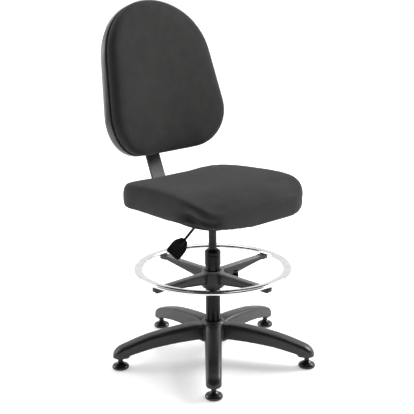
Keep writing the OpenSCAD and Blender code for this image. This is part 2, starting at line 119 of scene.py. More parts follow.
def rounded_profile(pts, seg=4):
    """pts = [(r, z, fillet)]: a polyline in the lathe plane with rounded corners."""
    out = []
    n = len(pts)
    for i, (x, z, f) in enumerate(pts):
        if f <= 0 or i in (0, n - 1):
            out.append((x, z))
            continue
        p, a, b = np.array([x, z]), np.array(pts[i - 1][:2]), np.array(pts[i + 1][:2])
        u, w = (a - p) / np.linalg.norm(a - p), (b - p) / np.linalg.norm(b - p)
        half = math.acos(max(-1, min(1, float(u @ w)))) / 2
        if half > math.pi / 2 - 0.02:
            out.append((x, z))
            continue
        t = min(f / math.tan(half), 0.49 * np.linalg.norm(a - p), 0.49 * np.linalg.norm(b - p))
        rr = t * math.tan(half)
        m = (u + w) / np.linalg.norm(u + w)
        o = p + m * rr / math.sin(half)
        s, e = p + u * t, p + w * t
        a0, a1 = math.atan2(*(s - o)[::-1]), math.atan2(*(e - o)[::-1])
        da = (a1 - a0 + math.pi) % (2 * math.pi) - math.pi
        for k in range(seg + 1):
            q = a0 + da * k / seg
            out.append((float(o[0] + rr * math.cos(q)), float(o[1] + rr * math.sin(q))))
    return out


def lathe(name, pts, seg=64, turn=None, place=None, fillet_seg=4, closed=False):
    """Revolved piece: pts as in rounded_profile, in mm; turn is a 3x3 to orient local Z; place maps mm to metres."""
    prof = rounded_profile(pts, fillet_seg)
    rings = lathe_rings([(max(r, 0.001), z) for r, z in prof], seg)
    if turn is not None:
        rings = [r @ turn.T for r in rings]
    if place is not None:
        rings = [place(r) for r in rings]
    if closed:
        n = seg
        verts = [p for r in rings for p in r]
        faces = grid_faces(len(rings), n) + [
            ((len(rings) - 1) * n + j, (len(rings) - 1) * n + (j + 1) % n, (j + 1) % n, j) for j in range(n)]
        return make(name, verts, faces)
    return rings_mesh(name, rings)


def join(name, objs):
    bm = bmesh.new()
    for o in objs:
        me = o.data.copy()
        me.transform(o.matrix_world)
        bm.from_mesh(me)
        bpy.data.meshes.remove(me)
    me = bpy.data.meshes.new(name)
    bm.to_mesh(me)
    bm.free()
    for p in me.polygons:
        p.use_smooth = True
    for o in objs:
        bpy.data.objects.remove(o)
    o = bpy.data.objects.new(name, me)
    scene.collection.objects.link(o)
    return o


def baked(o):
    """The object's mesh with its modifiers applied."""
    bpy.context.view_layer.update()
    dg = bpy.context.evaluated_depsgraph_get()
    dg.update()
    me = bpy.data.meshes.new_from_object(o.evaluated_get(dg))
    o.modifiers.clear()
    old = o.data
    o.data = me
    bpy.data.meshes.remove(old)
    for p in o.data.polygons:
        p.use_smooth = True
    return o


def coords(o):
    co = np.zeros(len(o.data.vertices) * 3, np.float32)
    o.data.vertices.foreach_get("co", co)
    return co.reshape(-1, 3).astype(float)


def set_coords(o, co):
    o.data.vertices.foreach_set("co", np.asarray(co, np.float32).ravel())
    o.data.update()


def neighbours_smooth(o, rounds, factor=0.5, mask=None):
    """Plain neighbour averaging over the mesh's edges."""
    e = np.zeros(len(o.data.edges) * 2, np.int32)
    o.data.edges.foreach_get("vertices", e)
    e = e.reshape(-1, 2)
    co = coords(o)
    n = len(co)
    deg = np.bincount(e.ravel(), minlength=n).astype(float)
    w = factor if mask is None else (factor * np.asarray(mask))[:, None]
    for _ in range(rounds):
        acc = np.zeros_like(co)
        for c in range(3):
            acc[:, c] = np.bincount(e[:, 0], co[e[:, 1], c], n) + np.bincount(e[:, 1], co[e[:, 0], c], n)
        co = co + w * (acc / deg[:, None] - co)
    set_coords(o, co)


def remesh(o, size, rounds=6, factor=0.5):
    m = o.modifiers.new("remesh", "REMESH")
    m.mode = "VOXEL"
    m.voxel_size = size
    m.use_smooth_shade = True
    baked(o)
    # keeps its volume: one shrinking and one growing pass each time
    for _ in range(rounds):
        neighbours_smooth(o, 1, factor)
        neighbours_smooth(o, 1, -factor * 1.04)
    return o


def recalc(o):
    bm = bmesh.new()
    bm.from_mesh(o.data)
    bmesh.ops.remove_doubles(bm, verts=bm.verts, dist=1e-6)
    bmesh.ops.recalc_face_normals(bm, faces=bm.faces)
    bm.to_mesh(o.data)
    bm.free()


def subdivide(o, levels=1):
    m = o.modifiers.new("subd", "SUBSURF")
    m.levels = m.render_levels = levels
    return baked(o)


def bevel(o, width, segments=3, angle=35):
    m = o.modifiers.new("bevel", "BEVEL")
    m.width, m.segments, m.limit_method, m.angle_limit = width / 1000, segments, "ANGLE", math.radians(angle)
    m.harden_normals = False
    baked(o)
    return o


def sharp_by_angle(o, deg=35):
    o.data.set_sharp_from_angle(angle=math.radians(deg))
    return o


def mm(p):
    return A(p)


# ------------------------------------------------------------------ materials
class Mat:
    def __init__(self, name):
        self.m = bpy.data.materials.new(name)
        self.m.use_nodes = True
        self.t = self.m.node_tree
        self.t.nodes.clear()
        self.out = self.t.nodes.new("ShaderNodeOutputMaterial")
        self.b = self.t.nodes.new("ShaderNodeBsdfPrincipled")
        self.t.links.new(self.b.outputs[0], self.out.inputs[0])
        self.tc = self.t.nodes.new("ShaderNodeTexCoord")
        self.co = self.tc.outputs["Object"]

    def node(self, kind, ins=None, **props):
        n = self.t.nodes.new(kind)
        for k, v in props.items():
            setattr(n, k, v)
        for k, v in (ins or {}).items():
            s = n.inputs[k]
            if isinstance(v, bpy.types.NodeSocket):
                self.t.links.new(v, s)
            else:
                s.default_value = v
        return n

    def set(self, **kw):
        for k, v in kw.items():
            s = self.b.inputs[k.replace("_", " ")]
            if isinstance(v, bpy.types.NodeSocket):
                self.t.links.new(v, s)
            else:
                s.default_value = v
        return self

    def noise(self, scale, detail=3.0, rough=0.5, vec=None, out="Fac", **extra):
        n = self.node("ShaderNodeTexNoise", {"Scale": scale, "Detail": detail, "Roughness": rough, "Vector": vec or self.co, **extra})
        return n.outputs[out]

    def math(self, op, a, b=0.0, c=0.0, clamp=False):
        n = self.node("ShaderNodeMath", operation=op, use_clamp=clamp)
        for i, v in enumerate((a, b, c)):
            if isinstance(v, bpy.types.NodeSocket):
                self.t.links.new(v, n.inputs[i])
            else:
                n.inputs[i].default_value = v
        return n.outputs[0]

    def remap(self, v, a, b, c, d):
        n = self.node("ShaderNodeMapRange", {"Value": v, "From Min": a, "From Max": b, "To Min": c, "To Max": d})
        return n.outputs[0]

    def mix(self, fac, a, b):
        n = self.node("ShaderNodeMix", data_type="RGBA")
        for i, v in ((0, fac), (6, a), (7, b)):
            if isinstance(v, bpy.types.NodeSocket):
                self.t.links.new(v, n.inputs[i])
            else:
                n.inputs[i].default_value = v if i == 0 else (*v, 1.0)
        return n.outputs[2]

    def bump(self, height, strength=0.3, distance=0.001, under=None):
        ins = {"Height": height, "Strength": strength, "Distance": distance}
        if under is not None:
            ins["Normal"] = under
        return self.node("ShaderNodeBump", ins).outputs[0]


def g(v):
    return (v, v, v)


def weave_height(M, pitch):
    """Height of a plain weave seen from any side: sinusoids along the two axes that lie in the surface."""
    sep = M.node("ShaderNodeSeparateXYZ", {"Vector": M.co})
    k = 2 * math.pi / pitch
    s = [M.math("SINE", M.math("MULTIPLY", sep.outputs[i], k)) for i in range(3)]
    geo = M.node("ShaderNodeNewGeometry")
    nrm = M.node("ShaderNodeSeparateXYZ", {"Vector": geo.outputs["Normal"]})
    w = [M.math("POWER", M.math("ABSOLUTE", nrm.outputs[i]), 3.0) for i in range(3)]
    pair = [M.math("MULTIPLY", s[1], s[2]), M.math("MULTIPLY", s[0], s[2]), M.math("MULTIPLY", s[0], s[1])]
    tot = None
    for i in range(3):
        q = M.math("MULTIPLY", w[i], pair[i])
        tot = q if tot is None else M.math("ADD", tot, q)
    return tot


def fabric(name, base, sheen=0.25, pitch=0.0017):
    M = Mat(name)
    weave = weave_height(M, pitch)
    crepe = M.noise(1150.0, 2.0, 0.6)
    slub = M.noise(300.0, 3.0, 0.65)
    mott = M.noise(26.0, 4.0, 0.6)
    big = M.noise(4.5, 2.0, 0.5)
    f = M.math("ADD", M.math("MULTIPLY", crepe, 0.45), M.math("MULTIPLY", slub, 0.55))
    f = M.math("ADD", f, M.math("MULTIPLY", weave, 0.10))
    f = M.math("ADD", f, M.math("MULTIPLY", M.math("SUBTRACT", mott, 0.5), 0.35))
    f = M.math("ADD", f, M.math("MULTIPLY", M.math("SUBTRACT", big, 0.5), 0.25))
    fac = M.remap(f, 0.25, 0.78, 0.0, 1.0)
    lo = tuple(c * 0.62 for c in base)
    hi = tuple(c * 1.42 for c in base)
    M.set(Base_Color=M.mix(fac, lo, hi))
    M.set(Roughness=M.remap(slub, 0.3, 0.7, 0.86, 0.97))
    M.b.inputs["Specular IOR Level"].default_value = 0.22
    M.b.inputs["Sheen Weight"].default_value = sheen
    M.b.inputs["Sheen Roughness"].default_value = 0.45
    M.b.inputs["Sheen Tint"].default_value = (0.75, 0.77, 0.78, 1)
    h = M.math("ADD", M.math("MULTIPLY", weave, 0.5), M.math("MULTIPLY", crepe, 0.6))
    n1 = M.bump(h, 0.55, 0.0005)
    n2 = M.bump(slub, 0.35, 0.0012, n1)
    M.set(Normal=n2)
    return M.m


def plastic(name, base, rough=0.42, grain=2200.0, bump=0.12, var=0.12, spec=0.5, edge_wear_and_highlight=0.0, top=None):
    M = Mat(name)
    fine = M.noise(grain, 2.0, 0.5)
    mid = M.noise(60.0, 4.0, 0.6)
    fac = M.math("ADD", M.math("MULTIPLY", fine, 0.35), M.math("MULTIPLY", mid, 0.65))
    lo = tuple(c * (1 - var) for c in base)
    hi = tuple(c * (1 + var) for c in base)
    col = M.mix(M.remap(fac, 0.3, 0.7, 0, 1), lo, hi)
    # rounded edges lightened by pointiness and noise: partly rubbed wear, partly painted highlight along glossy edges,
    # strongest on the footring spider
    if edge_wear_and_highlight > 0:
        geo = M.node("ShaderNodeNewGeometry")
        edge = M.remap(geo.outputs["Pointiness"], 0.52, 0.60, 0.0, edge_wear_and_highlight)
        edge = M.math("MULTIPLY", edge, M.remap(M.noise(140.0, 3.0), 0.4, 0.65, 0.2, 1.0), clamp=True)
        col = M.mix(edge, col, tuple(min(1, c * 2.6 + 0.01) for c in base))
    # painted highlight: faces turned upwards are mixed towards the lighter top colour, as if lit from above
    if top is not None:
        nz = M.node("ShaderNodeSeparateXYZ", {"Vector": M.node("ShaderNodeNewGeometry").outputs["Normal"]}).outputs[2]
        col = M.mix(M.remap(nz, 0.35, 0.9, 0.0, 1.0), col, top)
    M.set(Base_Color=col)
    M.set(Roughness=M.remap(M.noise(18.0, 4.0, 0.6), 0.3, 0.7, rough - 0.06, rough + 0.07))
    M.b.inputs["Specular IOR Level"].default_value = spec
    M.set(Normal=M.bump(fine, bump, 0.0003))
    return M.m


def metal(name, base, rough=0.3, scratch=0.08, metallic=1.0, aniso_axis=None, bump=0.03):
    M = Mat(name)
    mp = M.node("ShaderNodeMapping", {"Vector": M.co, "Scale": (260, 260, 260) if aniso_axis is None else aniso_axis})
    fine = M.noise(1.0, 3.0, 0.6, mp.outputs[0])
    blot = M.noise(30.0, 3.0, 0.5)
    M.set(Base_Color=M.mix(M.remap(blot, 0.3, 0.7, 0, 1), tuple(c * 0.93 for c in base), tuple(min(1, c * 1.05) for c in base)))
    M.b.inputs["Metallic"].default_value = metallic
    M.set(Roughness=M.remap(fine, 0.3, 0.7, max(0.02, rough - scratch), rough + scratch))
    M.set(Normal=M.bump(fine, bump, 0.0002))
    return M.m


def wood(name):
    M = Mat(name)
    mp = M.node("ShaderNodeMapping", {"Vector": M.co, "Scale": (6.0, 60.0, 60.0)})
    n = M.noise(1.5, 5.0, 0.6, mp.outputs[0])
    fine = M.noise(900.0, 2.0, 0.5)
    M.set(Base_Color=M.mix(M.remap(n, 0.3, 0.7, 0, 1), (0.42, 0.28, 0.15), (0.62, 0.46, 0.28)))
    M.set(Roughness=M.remap(fine, 0.3, 0.7, 0.6, 0.78))
    M.set(Normal=M.bump(n, 0.2, 0.0006))
    return M.m


UPHOLSTERY = fabric("charcoal_cloth", (0.0255, 0.0255, 0.0247), sheen=0.10)
SHELL = plastic("shell_moulding", (0.075, 0.075, 0.076), rough=0.36, grain=1500.0, bump=0.10, var=0.10)
BASE_NYLON = plastic("base_nylon", (0.015, 0.015, 0.015), rough=0.38, grain=1700.0, bump=0.16, var=0.18)
# the footring spider's lighter up-facing flanges and rims are painted highlight
SPIDER_NYLON = plastic("spider_nylon", (0.009, 0.009, 0.009), rough=0.30, grain=1700.0, bump=0.10, var=0.15, edge_wear_and_highlight=0.6, spec=0.3, top=(0.18, 0.18, 0.18))
GLIDE_NYLON = plastic("glide_nylon", (0.010, 0.010, 0.010), rough=0.20, grain=1200.0, bump=0.04, var=0.15)
BLACK_PLASTIC = plastic("black_plastic", (0.006, 0.006, 0.006), rough=0.32, grain=1600.0, bump=0.08, var=0.15, edge_wear_and_highlight=0.2, spec=0.14)
PADDLE = plastic("paddle_plastic", (0.004, 0.004, 0.004), rough=0.30, grain=1900.0, bump=0.05, var=0.1, edge_wear_and_highlight=0.0, spec=0.35)
BUSH = plastic("bush_plastic", (0.03, 0.03, 0.03), rough=0.45, grain=1600.0, bump=0.08)
POWDER = plastic("powder_coat", (0.020, 0.020, 0.020), rough=0.42, grain=900.0, bump=0.22, var=0.14, edge_wear_and_highlight=0.3)
TUBE_PAINT = plastic("tube_paint", (0.005, 0.005, 0.005), rough=0.20, grain=700.0, bump=0.05, var=0.15, spec=0.16)
CYL_PAINT = plastic("cylinder_paint", (0.010, 0.010, 0.010), rough=0.22, grain=500.0, bump=0.04, var=0.12, spec=0.2)
RUBBER = plastic("rubber", (0.015, 0.015, 0.015), rough=0.75, grain=800.0, bump=0.2)
CHROME = metal("chrome", (0.74, 0.75, 0.76), rough=0.055, scratch=0.025, bump=0.004)
ZINC = metal("zinc_plate", (0.62, 0.63, 0.62), rough=0.32, scratch=0.1)
ROD_STEEL = metal("ground_rod", (0.72, 0.73, 0.74), rough=0.16, scratch=0.05)
PLY = wood("plywood")
BLACK_PLY = plastic("black_stained_plywood", (0.020, 0.019, 0.018), rough=0.68, grain=420.0, bump=0.3, var=0.3, spec=0.25)

NODE_MATS = {
    "base_hub_ring": ZINC, "glide_stems": ZINC, "bearing_washer_lower": ZINC, "bearing_balls": ZINC, "bearing_washer_upper": ZINC,
    "piston_rod": ROD_STEEL, "bump_stop": RUBBER, "rod_clip": ZINC, "rod_gland": BLACK_PLASTIC, "release_button": ROD_STEEL,
    "hub_bush": BUSH, "ring_screws": ZINC, "ring_knob_stud": ZINC, "seat_bracket": POWDER, "taper_socket": POWDER,
    "bar_housing": POWDER, "bracket_bolts": ZINC, "tee_nuts": ZINC, "seat_board": BLACK_PLY, "lever_pin": ZINC, "lever_block": BLACK_PLASTIC,
    "depth_knob_stud": ZINC, "bar_end_cap": BLACK_PLASTIC, "back_carriage": BLACK_PLASTIC, "height_knob_stud": ZINC, "pivot_pin": ZINC,
    "pivot_plate": POWDER, "back_screws": ZINC, "back_board": PLY,
    "base_star": BASE_NYLON, "glide_feet": GLIDE_NYLON, "outer_tube": TUBE_PAINT, "top_collar": BLACK_PLASTIC, "gas_cylinder": CYL_PAINT,
    "ring_spider": SPIDER_NYLON, "foot_ring": CHROME, "ring_knob": BLACK_PLASTIC, "seat_cushion": UPHOLSTERY, "lever_rod": POWDER,
    "lever_grip": PADDLE, "depth_knob": BLACK_PLASTIC, "back_bar": POWDER, "height_knob": BLACK_PLASTIC, "back_shell": SHELL,
    "back_cushion": UPHOLSTERY,
}
for name, o in nodes.items():
    m = NODE_MATS[name]
    for s in o.material_slots:
        s.link = "OBJECT"
        s.material = m
    if not o.material_slots:
        o.data.materials.append(m)


def finish_piece(o, mat, body, slot, *replaced):
    o.data.materials.clear()
    o.data.materials.append(mat)
    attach(o, body)
    if replaced:
        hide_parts(*replaced)
    return o


# ------------------------------------------------------------------ camera, floor, light
D, H, PITCH, YAW, ROLL = 2.970, 1.3157, math.radians(14.76), math.radians(-0.34), math.radians(-0.58)
PHI = math.radians(-44)
spin = Matrix.Rotation(PHI, 3, "Z")
fwd = spin @ Vector((math.sin(YAW) * math.cos(PITCH), math.cos(YAW) * math.cos(PITCH), -math.sin(PITCH)))
right = spin @ Vector((math.cos(YAW), -math.sin(YAW), 0))
up = right.cross(fwd)
r_ = right * math.cos(ROLL) + up * math.sin(ROLL)
u_ = -right * math.sin(ROLL) + up * math.cos(ROLL)
cam_data = bpy.data.cameras.new("camera")
cam_data.lens, cam_data.sensor_width, cam_data.sensor_fit = 80.0, 36.0, "HORIZONTAL"
cam = bpy.data.objects.new("camera", cam_data)
scene.collection.objects.link(cam)
pos = Vector((AX, AY, H)) + Vector((math.sin(PHI), -math.cos(PHI), 0)) * D
cam.matrix_world = Matrix((
    (r_.x, u_.x, -fwd.x, pos.x), (r_.y, u_.y, -fwd.y, pos.y), (r_.z, u_.z, -fwd.z, pos.z), (0, 0, 0, 1)))
scene.camera = cam
scene.view_settings.view_transform = "Standard"

floor = make("floor", [(-14, -14, 0), (14, -14, 0), (14, 14, 0), (-14, 14, 0)], [(0, 1, 2, 3)], smooth=False)
FM = Mat("floor_paper_painted_glow")
FM.set(Base_Color=FM.mix(FM.noise(3.0, 2.0), g(0.80), g(0.82)))
FM.set(Roughness=FM.remap(FM.noise(40.0, 3.0), 0.3, 0.7, 0.75, 0.9))
FM.b.inputs["Specular IOR Level"].default_value = 0.2
fl = FM.node("ShaderNodeSeparateXYZ", {"Vector": FM.co})
fd = FM.math("SQRT", FM.math("ADD", FM.math("POWER", FM.math("SUBTRACT", fl.outputs[0], AX), 2.0), FM.math("POWER", FM.math("SUBTRACT", fl.outputs[1], AY), 2.0)))
# the floor glows, less near the column and more further out: painted light that lifts the shadows under the chair and
# blends the floor into the white backdrop
FM.b.inputs["Emission Color"].default_value = (1, 1, 1, 1)
FM.set(Emission_Strength=FM.remap(fd, 0.25, 1.2, 0.42, 0.90))
floor.data.materials.append(FM.m)

world = bpy.data.worlds.new("studio")
scene.world = world
world.use_nodes = True
wt = world.node_tree
wt.nodes.clear()
wo = wt.nodes.new("ShaderNodeOutputWorld")
bg = wt.nodes.new("ShaderNodeBackground")
tc = wt.nodes.new("ShaderNodeTexCoord")
dot = wt.nodes.new("ShaderNodeVectorMath")
dot.operation = "DOT_PRODUCT"
camdir = Vector((math.sin(PHI), -math.cos(PHI), 0.12)).normalized()
dot.inputs[1].default_value = camdir
ramp = wt.nodes.new("ShaderNodeMapRange")
ramp.interpolation_type = "SMOOTHSTEP"
ramp.inputs["From Min"].default_value = -0.55
ramp.inputs["From Max"].default_value = 0.62
ramp.inputs["To Min"].default_value = 1.0
ramp.inputs["To Max"].default_value = 0.04
wt.links.new(tc.outputs["Generated"], dot.inputs[0])
wt.links.new(dot.outputs["Value"], ramp.inputs["Value"])
bg.inputs["Color"].default_value = (1, 1, 1, 1)
wt.links.new(ramp.outputs[0], bg.inputs["Strength"])
# the backdrop itself is seen plain and pale from every side
plain = wt.nodes.new("ShaderNodeBackground")
plain.inputs["Color"].default_value = (1, 1, 1, 1)
plain.inputs["Strength"].default_value = 1.0
seen = wt.nodes.new("ShaderNodeLightPath")
either = wt.nodes.new("ShaderNodeMixShader")
wt.links.new(seen.outputs["Is Camera Ray"], either.inputs[0])
wt.links.new(bg.outputs[0], either.inputs[1])
wt.links.new(plain.outputs[0], either.inputs[2])
wt.links.new(either.outputs[0], wo.inputs[0])


def area(name, where, look, size, power, size_y=None):
    l = bpy.data.lights.new(name, "AREA")
    l.shape = "RECTANGLE"
    l.size, l.size_y = size, size_y or size
    l.energy = power
    o = bpy.data.objects.new(name, l)
    scene.collection.objects.link(o)
    o.location = where
    o.rotation_euler = (Vector(look) - Vector(where)).to_track_quat("-Z", "Y").to_euler()
    return o


def place_light(side, fore, height):
    """A point given in the camera's own directions: metres to its right, metres away from it, height."""
    rt = Vector((math.cos(PHI), math.sin(PHI), 0))
    fw = Vector((-math.sin(PHI), math.cos(PHI), 0))
    return Vector((AX, AY, 0)) + rt * side + fw * fore + Vector((0, 0, height))


area("key", place_light(2.5, 0.85, 2.1), (AX, AY, 0.7), 1.4, 92)
area("left_fill", place_light(-2.6, 0.65, 1.4), (AX, AY, 0.7), 1.4, 26)
area("overhead", place_light(0.1, 0.8, 3.4), (AX, AY, 0.4), 2.2, 42)

# PIECES
# ------------------------------------------------------------------ soft goods
def puff(o, voxel, pressure=4.0, frames=20, cap=0.016, pin=None, stiff=15.0, bend=1.5, shrink=0.0, smooth=4):
    """Inflates a closed mesh as cloth, holds the points that pin() picks, and limits how far any point may travel."""
    remesh(o, voxel, 3)
    start = coords(o)
    grp = o.vertex_groups.new(name="held")
    held = pin(start)
    grp.add([int(i) for i in np.nonzero(held)[0]], 1.0, "REPLACE")
    m = o.modifiers.new("cloth", "CLOTH")
    cs = m.settings
    cs.quality = 6
    cs.mass = 0.35
    cs.tension_stiffness = cs.compression_stiffness = stiff
    cs.shear_stiffness = stiff * 0.6
    cs.bending_stiffness = bend
    cs.tension_damping = cs.compression_damping = 12
    cs.air_damping = 6
    cs.use_pressure = True
    cs.uniform_pressure_force = pressure
    cs.shrink_min = shrink
    cs.vertex_group_mass = "held"
    cs.pin_stiffness = 1.0
    cs.effector_weights.gravity = 0.0
    m.collision_settings.use_collision = False
    m.point_cache.frame_start, m.point_cache.frame_end = 1, frames
    for f in range(1, frames + 1):
        scene.frame_set(f)
    bpy.context.view_layer.update()
    dg = bpy.context.evaluated_depsgraph_get()
    ev = o.evaluated_get(dg)
    me = ev.to_mesh()
    co = np.zeros(len(me.vertices) * 3, np.float32)
    me.vertices.foreach_get("co", co)
    ev.to_mesh_clear()
    co = co.reshape(-1, 3).astype(float)
    o.modifiers.clear()
    scene.frame_set(1)
    move = co - start
    dist = np.linalg.norm(move, axis=1)
    soft = cap * np.tanh(dist / cap)
    move *= (soft / np.maximum(dist, 1e-9))[:, None]
    set_coords(o, start + move)
    o.vertex_groups.clear()
    neighbours_smooth(o, smooth)
    print("puffed", o.name, "verts", len(co), "largest move mm", round(1000 * float(dist.max()), 1), "mean", round(1000 * float(dist.mean()), 1))
    return o


def lerp(a, b, t):
    return a + (b - a) * t


def smoothstep(a, b, x):
    t = np.clip((np.asarray(x, float) - a) / (b - a), 0, 1)
    return t * t * (3 - 2 * t)


# ---- back: outline in (x, v), arcs joined by tangents
BH, BR1, BR2, BX2, BWRAP = 516.0, 215.0, 131.0, 110.0, 700.0


def outline_from(segments, n):
    """segments: ("arc", centre, radius, a0, a1) or ("line", c0, c1, normal angle, r0, r1). Gives centres, radii and normals at equal steps."""
    dense = []
    for s in segments:
        if s[0] == "arc":
            _, c, r, a0, a1 = s
            k = max(2, int(abs(math.radians(a1 - a0)) * r / 1.5))
            for t in np.linspace(0, 1, k, endpoint=False):
                a = math.radians(a0 + (a1 - a0) * t)
                dense.append((*c, r, math.cos(a), math.sin(a)))
        else:
            _, c0, c1, a, r0, r1 = s
            a = math.radians(a)
            c0, c1 = np.array(c0, float), np.array(c1, float)
            k = max(2, int(np.linalg.norm(c1 - c0) / 1.5))
            for t in np.linspace(0, 1, k, endpoint=False):
                c = lerp(c0, c1, t)
                dense.append((c[0], c[1], lerp(r0, r1, t), math.cos(a), math.sin(a)))
    d = np.array(dense)
    p = d[:, :2] + d[:, 2:3] * d[:, 3:5]
    step = np.linalg.norm(np.roll(p, -1, 0) - p, axis=1)
    cum = np.concatenate([[0], np.cumsum(step)])
    want = np.linspace(0, cum[-1], n, endpoint=False)
    idx = np.clip(np.searchsorted(cum, want, "right") - 1, 0, len(d) - 1)
    f = (want - cum[idx]) / np.maximum(step[idx], 1e-9)
    nxt = (idx + 1) % len(d)
    q = d[idx] * (1 - f[:, None]) + d[nxt] * f[:, None]
    nn = np.linalg.norm(q[:, 3:5], axis=1, keepdims=True)
    q[:, 3:5] /= nn
    return q


def tangent_angle(c1, r1, c2, r2):
    d = np.array(c2, float) - np.array(c1, float)
    return math.degrees(math.atan2(d[1], d[0]) + math.acos((r1 - r2) / np.linalg.norm(d)))


_ta = tangent_angle((0, BH - BR1), BR1, (BX2, BR2), BR2)
EGG = outline_from([
    ("arc", (0, BH - BR1), BR1, _ta, 180 - _ta),
    ("line", (0, BH - BR1), (-BX2, BR2), 180 - _ta, BR1, BR2),
    ("arc", (-BX2, BR2), BR2, 180 - _ta, 270),
    ("line", (-BX2, BR2), (BX2, BR2), 270, BR2, BR2),
    ("arc", (BX2, BR2), BR2, 270, 360 + _ta),
    ("line", (BX2, BR2), (0, BH - BR1), _ta, BR2, BR1)], 176)


def egg_at(inset):
    return EGG[:, :2] + (EGG[:, 2:3] - inset) * EGG[:, 3:5]


def bent(xv, d):
    """(x, v) of the flat outline at depth d, bent round the sitter, in the row frame."""
    x, v = xv[:, 0], xv[:, 1]
    d = np.broadcast_to(np.asarray(d, float), x.shape)
    q = x / BWRAP
    return B(np.stack([(BWRAP + d) * np.sin(q), (BWRAP + d) * np.cos(q) - BWRAP, v], -1))


BC = np.array([0.0, 246.0])


def back_cushion():
    edge, small = 18.0, -0.4
    rings = []

    def full(p):
        """The pad is a little wider over its upper half than the shell."""
        v = p[:, 1] - BC[1]
        return BC + (p - BC) * (1 + 0.010 * smoothstep(-150, 120, v))[:, None]

    for s in np.linspace(0.06, 1.0, 18):
        p = BC + s * (full(egg_at(edge + small)) - BC)
        rings.append(bent(p, 3.2 - 15.0 * (1 - s * s) ** 0.85))
    for a in np.linspace(0, math.pi / 2, 8)[1:]:
        rings.append(bent(full(egg_at(edge * (1 - math.sin(a)) + small)), 3.2 + 17 * (1 - math.cos(a))))
    for d, i in ((25, -0.8), (30, -0.9), (35, -0.8), (39, -0.5), (42.2, 0.2), (44.2, 2.4), (45.0, 7.0)):
        rings.append(bent(full(egg_at(i)), d))
    for s in np.linspace(0.95, 0.1, 9):
        rings.append(bent(BC + s * (egg_at(8) - BC), 45.1))
    o = rings_mesh("back_upholstery", rings)

    def held(co):
        # depth behind the front face, measured square to the bend
        p = (co - np.array([AX, AY, 0])) * 1000 - np.array([0, 182, 700])
        d = p[:, 1] * math.cos(LEAN) - p[:, 2] * math.sin(LEAN)
        r = np.sqrt(p[:, 0] ** 2 + (d + BWRAP) ** 2) - BWRAP
        return r > 38.5

    puff(o, 0.0045, pressure=2.0, cap=0.005, pin=held, stiff=30, bend=14.0, smooth=26)
    return o


def polish_back(o):
    # smoothed with one level of subdivision
    subdivide(o)
    return o


back_pad = polish_back(back_cushion())
finish_piece(back_pad, UPHOLSTERY, "back", "upholstery", "back_cushion")


def back_shell():
    rings = []
    # rear face from the middle out, a shallow panel with a raised border, the flank, the lip and the inside
    for s in np.linspace(0.05, 1.0, 12):
        rings.append(bent(BC + s * (egg_at(52) - BC), 76.4))
    for i, d in ((49.5, 76.5), (47.5, 76.9), (45.5, 77.7), (43.5, 78.2), (41.0, 78.3), (34, 78.1), (27, 77.5), (21, 76.6), (16, 75.2), (11, 73.2),
                 (7.0, 70.6), (4.6, 67.5), (3.0, 63.5), (1.9, 58.5), (1.1, 53.0), (0.8, 49.0), (0.9, 47.6), (1.4, 46.7), (2.4, 46.2), (5.0, 46.0),
                 (12.0, 46.0), (13.4, 46.3), (13.8, 47.4), (13.8, 55.0), (14.4, 66.0), (17.0, 71.0), (22.0, 73.6), (30, 74.8)):
        p = egg_at(i)
        up = smoothstep(20, 230, p[:, 1] - BC[1])
        low = smoothstep(60, -190, p[:, 1] - BC[1]) * float(smoothstep(46, 60, d))
        grow = 1 - (0.0005 * max(0.0, d - 46) - 0.004) * up
        rings.append(bent(BC + (p - BC) * np.stack([grow + 0.011 * low, grow + 0.006 * low], -1), d))
    for s in np.linspace(0.9, 0.08, 8):
        rings.append(bent(BC + s * (egg_at(30) - BC), 73.6))
    o = rings_mesh("back_outer_shell", rings)
    return o


shell = back_shell()
subdivide(shell)
finish_piece(shell, SHELL, "back", "shell_plastic", "back_shell")

# ---- seat
SEAT_TOP, SEAT_UNDER, SEAT_FRONT, SEAT_REAR, SR = 622.0, 545.0, 228.0, 234.0, 99.0
cfx, cfy = 512 / 2 - SR, -SEAT_FRONT + SR
crx, cry = (512 - 40) / 2 - SR, SEAT_REAR - SR
_sa = tangent_angle((crx, cry), SR, (cfx, cfy), SR)
PLAN = outline_from([
    ("arc", (cfx, cfy), SR, -90, _sa),
    ("line", (cfx, cfy), (crx, cry), _sa, SR, SR),
    ("arc", (crx, cry), SR, _sa, 90),
    ("line", (crx, cry), (-crx, cry), 90, SR, SR),
    ("arc", (-crx, cry), SR, 90, 180 - _sa),
    ("line", (-crx, cry), (-cfx, cfy), 180 - _sa, SR, SR),
    ("arc", (-cfx, cfy), SR, 180 - _sa, 270),
    ("line", (-cfx, cfy), (cfx, cfy), 270, SR, SR)], 200)
SC = np.array([0.0, 8.0])


def plan_at(inset):
    return PLAN[:, :2] + (PLAN[:, 2:3] - inset) * PLAN[:, 3:5]


def seat_hi(y):
    return SEAT_TOP - 12 * np.clip((y - 84) / 150, 0, None) ** 2 - 42 * np.clip((-98 - y) / 130, 0, None) ** 2


def seat_lo(y):
    return SEAT_UNDER - 18 * np.clip((-98 - y) / 130, 0, None) ** 2


def seat_ring(inset, z):
    p = plan_at(inset)
    return A(np.column_stack([p, z(p[:, 1]) if callable(z) else np.full(len(p), z)]))


SIDE_Y = [-228, -216, -203, -190, -172, -150, -130, -95, -34, 30, 101, 170, 205, 234]
SIDE_Z = [566, 581, 593.5, 604, 614, 621.5, 626.5, 630.5, 631.5, 630, 627.0, 621, 617, 612]


def seat_crown(p):
    """Height of the seat's top: highest along the sides, a little lower where one sits."""
    x, y = p[:, 0], p[:, 1]
    side = np.interp(y, SIDE_Y, SIDE_Z)
    mid = np.interp(y, SIDE_Y, [570, 588, 602, 611, 619, 623, 625, 626, 625.5, 625, 623, 616.5, 611, 604])
    t = smoothstep(60, 215, np.abs(x))
    return mid * (1 - t) + side * t


